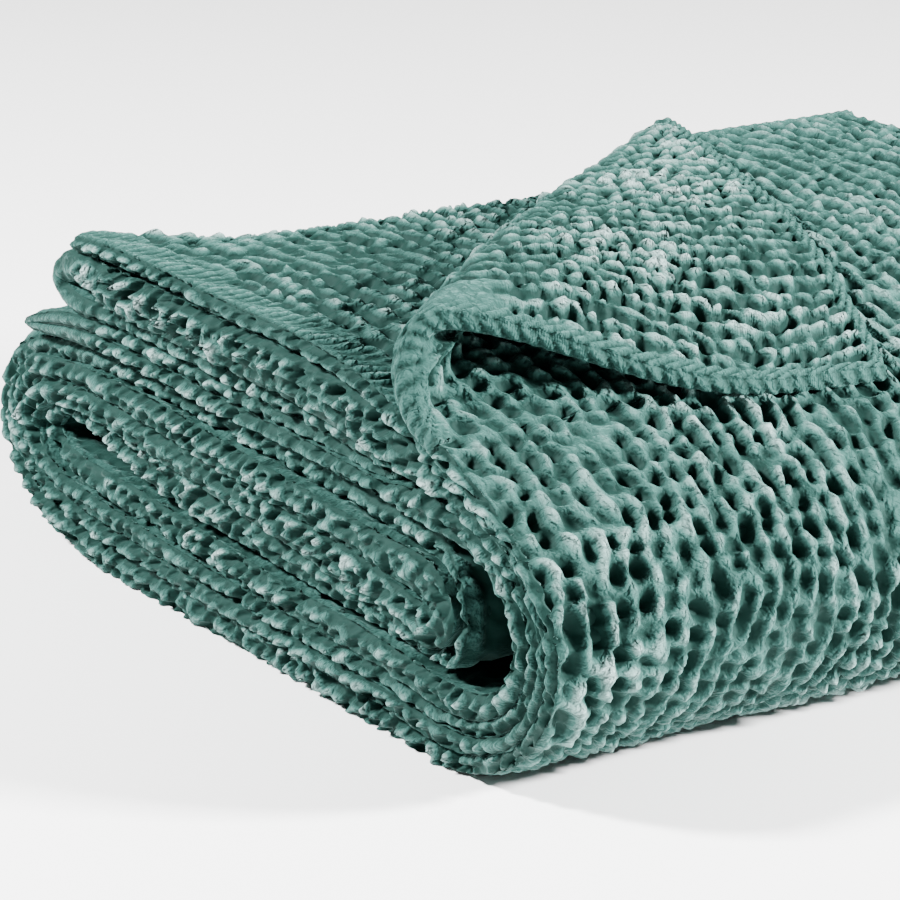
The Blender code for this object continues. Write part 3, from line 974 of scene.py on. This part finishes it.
def texture(tree, kind, place, **values):
    """The outputs of a new texture node that is laid in the object's own space."""
    node = add_node(tree, kind, **values)
    tree.links.new(place, node.inputs["Vector"])
    return node.outputs


def painted_light_level(tree, patches, fibres):
    """The level of painted shade and highlight at a point, from how high the cloth stands in its relief, with
    slow and fine variation.
    """
    relief = add_node(tree, "ShaderNodeAttribute", attribute_name="relief").outputs["Fac"]
    level = math_node(tree, "MULTIPLY_ADD", relief, RELIEF_TO_LEVEL, LEVEL_START)
    for noise, share in ((patches, PATCHES_IN_LEVEL), (fibres, FIBRES_IN_LEVEL)):
        level = math_node(tree, "MULTIPLY_ADD", noise, share, math_node(tree, "ADD", level, -share / 2))
    return level


def colour_with_painted_light(tree, level):
    """Painted shade, dark, in the pits, and painted highlights, pale, on the puffs."""
    ramp = add_node(tree, "ShaderNodeValToRGB")
    tree.links.new(level, ramp.inputs["Fac"])
    stops = ramp.color_ramp.elements
    first, *between, last = CLOTH_COLOURS_AND_PAINTED_LIGHT
    for stop, (position, colour) in zip(stops, (first, last)):
        stop.position = position
        stop.color = colour
    for position, colour in between:
        stops.new(position).color = colour
    return ramp.outputs["Color"]


def cloth_threads(tree, patches, pull):
    """Threads across the cloth, pulled crooked, that show in some patches."""
    pattern = add_node(tree, "ShaderNodeUVMap", uv_map="cloth").outputs["UV"]
    split = add_node(tree, "ShaderNodeSeparateXYZ")
    tree.links.new(pattern, split.inputs[0])
    bend = math_node(tree, "MULTIPLY", pull, THREADS_PULLED)
    turn = math_node(tree, "MULTIPLY_ADD", split.outputs["X"], THREADS, bend)
    shown = math_node(tree, "MULTIPLY", math_node(tree, "ADD", patches, -THREADS_FROM), THREADS_WEIGHT)
    return math_node(tree, "MULTIPLY", math_node(tree, "SINE", turn), math_node(tree, "MAXIMUM", shown, 0.0))


def cloth_bump(tree, place, level, patches, fibres, pull):
    """Relief too fine for the mesh: sharp crumples in two sizes, threads along the ropes, and fibres."""
    pulled = add_node(tree, "ShaderNodeVectorMath", operation="MULTIPLY_ADD")
    tree.links.new(pull["Color"], pulled.inputs[0])
    pulled.inputs[1].default_value = (CRUMPLES_PULLED,) * 3
    tree.links.new(place, pulled.inputs[2])
    height = cloth_threads(tree, patches, pull["Fac"])
    for scale, weight in ((CRUMPLES_COARSE, COARSE_WEIGHT), (CRUMPLES_FINE, FINE_WEIGHT)):
        crumples = texture(tree, "ShaderNodeTexVoronoi", pulled.outputs[0], Scale=scale)
        height = math_node(tree, "MULTIPLY_ADD", crumples["Distance"], weight, height)
    height = math_node(tree, "MULTIPLY_ADD", fibres, FIBRE_WEIGHT, height)
    bump = add_node(tree, "ShaderNodeBump", Distance=BUMP_DEPTH)
    tree.links.new(height, bump.inputs["Height"])
    tree.links.new(math_node(tree, "MULTIPLY_ADD", level, BUMP_BY_LEVEL, BUMP_LEAST), bump.inputs["Strength"])
    return bump.outputs["Normal"]


def cloth_material():
    """Matt cotton, wrinkled by how high the weave stands, and coloured by it with painted shade in the pits
    and painted highlights on the puffs.
    """
    material = bpy.data.materials.new("sage_waffle_cotton")
    material.use_nodes = True
    tree = material.node_tree
    shader = tree.nodes["Principled BSDF"]
    for name, value in CLOTH_FINISH.items():
        shader.inputs[name].default_value = value
    place = add_node(tree, "ShaderNodeTexCoord").outputs["Object"]
    patches = texture(tree, "ShaderNodeTexNoise", place, **PATCHES)["Fac"]
    fibres = texture(tree, "ShaderNodeTexNoise", place, **FIBRES)["Fac"]
    pull = texture(tree, "ShaderNodeTexNoise", place, **PULL)
    level = painted_light_level(tree, patches, fibres)
    normal = cloth_bump(tree, place, level, patches, fibres, pull)
    tree.links.new(colour_with_painted_light(tree, level), shader.inputs["Base Color"])
    tree.links.new(normal, shader.inputs["Normal"])
    return material


# The studio


def floor_piece():
    """A plain pale floor under the throw."""
    mesh = bpy.data.meshes.new("floor")
    corners = [(x * FLOOR_HALF, y * FLOOR_HALF, 0) for x, y in ((-1, -1), (1, -1), (1, 1), (-1, 1))]
    mesh.from_pydata(corners, [], [(0, 1, 2, 3)])
    floor = bpy.data.objects.new("floor", mesh)
    bpy.context.scene.collection.objects.link(floor)
    material = bpy.data.materials.new("white_floor")
    material.use_nodes = True
    shader = material.node_tree.nodes["Principled BSDF"]
    shader.inputs["Base Color"].default_value = FLOOR_COLOUR
    shader.inputs["Roughness"].default_value = FLOOR_ROUGHNESS
    mesh.materials.append(material)


def area_light(name, place, size, power):
    """A square light that faces the throw."""
    data = bpy.data.lights.new(name, "AREA")
    data.size = size
    data.energy = power
    light = bpy.data.objects.new(name, data)
    light.location = place
    light.rotation_euler = (Vector(LIGHT_AIM) - Vector(place)).to_track_quat("-Z", "Y").to_euler()
    bpy.context.scene.collection.objects.link(light)


def camera():
    """The photograph's camera: a long lens from the right front, a little above."""
    azimuth, elevation = math.radians(CAMERA_AZIMUTH), math.radians(CAMERA_ELEVATION)
    level = math.cos(elevation)
    back = Vector((math.sin(azimuth) * level, -math.cos(azimuth) * level, math.sin(elevation)))
    right = Vector((math.cos(azimuth), math.sin(azimuth), 0))
    up = back.cross(right)
    aim = CAMERA_RIGHT * right + CAMERA_UP * up - Vector(MIDDLE * MM)
    data = bpy.data.cameras.new("photo_camera")
    data.sensor_width = CAMERA_SENSOR
    data.lens = CAMERA_LENS
    thing = bpy.data.objects.new("photo_camera", data)
    basis = Matrix((right, up, back)).transposed().to_4x4()
    basis.translation = aim + back * CAMERA_DISTANCE
    thing.matrix_world = basis
    bpy.context.scene.collection.objects.link(thing)
    bpy.context.scene.camera = thing


def world():
    """Even white light from all round."""
    scene = bpy.context.scene
    scene.world = scene.world or bpy.data.worlds.new("studio")
    scene.world.use_nodes = True
    background = scene.world.node_tree.nodes["Background"]
    background.inputs["Color"].default_value = (1, 1, 1, 1)
    background.inputs["Strength"].default_value = WORLD_STRENGTH


# The whole throw


def place_where(test):
    """The place along the sheet where a test on the section line first holds."""
    return LINE[int(np.argmax(test)), 4]


def stretches():
    """The sheet cut into stretches: each one's name, its start and end, its step, and its two faces.

    A face is its columns, and whether it shows.
    """
    shown = columns_across(HALF_DEPTH, HALF_DEPTH, STEP, STEP), True
    less_fine = columns_across(HALF_DEPTH, HALF_DEPTH, COLUMN_MEDIUM, COLUMN_MEDIUM), True
    hidden = columns_across(FINE_NEAR, FINE_FAR, STEP, COLUMN_HIDDEN), False
    x, z, s = LINE[:, 0], LINE[:, 1], LINE[:, 4]
    fold_end = place_where((x < FOLD_END_X) & (z < FOLD_END_Z) & (s > FLAP_END))
    nose_start = place_where((x < NOSE_X) & (s > fold_end))
    nose_end = place_where((x > NOSE_X) & (s > nose_start + NOSE_LEAST))
    tongue_start = place_where((x < TONGUE_FROM_X) & (z > TONGUE_Z) & (s > nose_end))
    tongue_end = place_where((x > TONGUE_TO_X) & (s > tongue_start + TONGUE_LEAST))
    upper_start = place_where((x < UPPER_FROM_X) & (z > UPPER_Z) & (s > tongue_end))
    upper_end = place_where((x > UPPER_TO_X) & (s > upper_start + TONGUE_LEAST))
    second_start = TOTAL_LENGTH - SECOND_LENGTH
    return [
        ("cloth_flap", 0.0, FLAP_END, STEP, shown, shown),
        ("cloth_fold", FLAP_END, fold_end, STEP, shown, hidden),
        ("cloth_base", fold_end, nose_start, STEP_HIDDEN, hidden, hidden),
        ("cloth_nose", nose_start, nose_end, STEP_HIDDEN, less_fine, hidden),
        ("cloth_inside", nose_end, tongue_start, STEP_HIDDEN, hidden, hidden),
        ("cloth_tongue", tongue_start, tongue_end, STEP_HIDDEN, less_fine, hidden),
        ("cloth_pleat", tongue_end, upper_start, STEP_HIDDEN, hidden, hidden),
        ("cloth_upper", upper_start, upper_end, STEP_HIDDEN, less_fine, hidden),
        ("cloth_middle", upper_end, second_start, STEP_HIDDEN, hidden, hidden),
        ("cloth_second", second_start, TOTAL_LENGTH, STEP, hidden, shown),
    ]


def build():
    """The throw as closed pieces of cloth, each attached to the root body in place of the blanket's solid,
    which is hidden.
    """
    cloth = cloth_material()
    for name, start, end, step, top_face, under_face in stretches():
        line = stretch(start, end, step)
        points, spots, painted_levels = cloth_grid(line, top_face, under_face, name == "cloth_flap")
        normals = normals_of(points, True)
        last_row = len(line) - 1
        most_rows = PIECE_TRIANGLES // (2 * points.shape[1])
        parts = int(math.ceil(last_row / most_rows))
        cuts = np.linspace(0, last_row, parts + 1).astype(int)
        columns = (top_face[0], under_face[0])
        for number, rows in enumerate(zip(cuts, cuts[1:]), 1):
            piece = cloth_piece(f"{name}_{number}", points, spots, painted_levels, normals, rows, columns)
            piece.data.materials.append(cloth)
            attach(piece, "root")
            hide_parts("blanket")


build()
floor_piece()
for light_name, (light_place, light_size, light_power) in LIGHTS.items():
    area_light(light_name, light_place, light_size, light_power)
camera()
world()
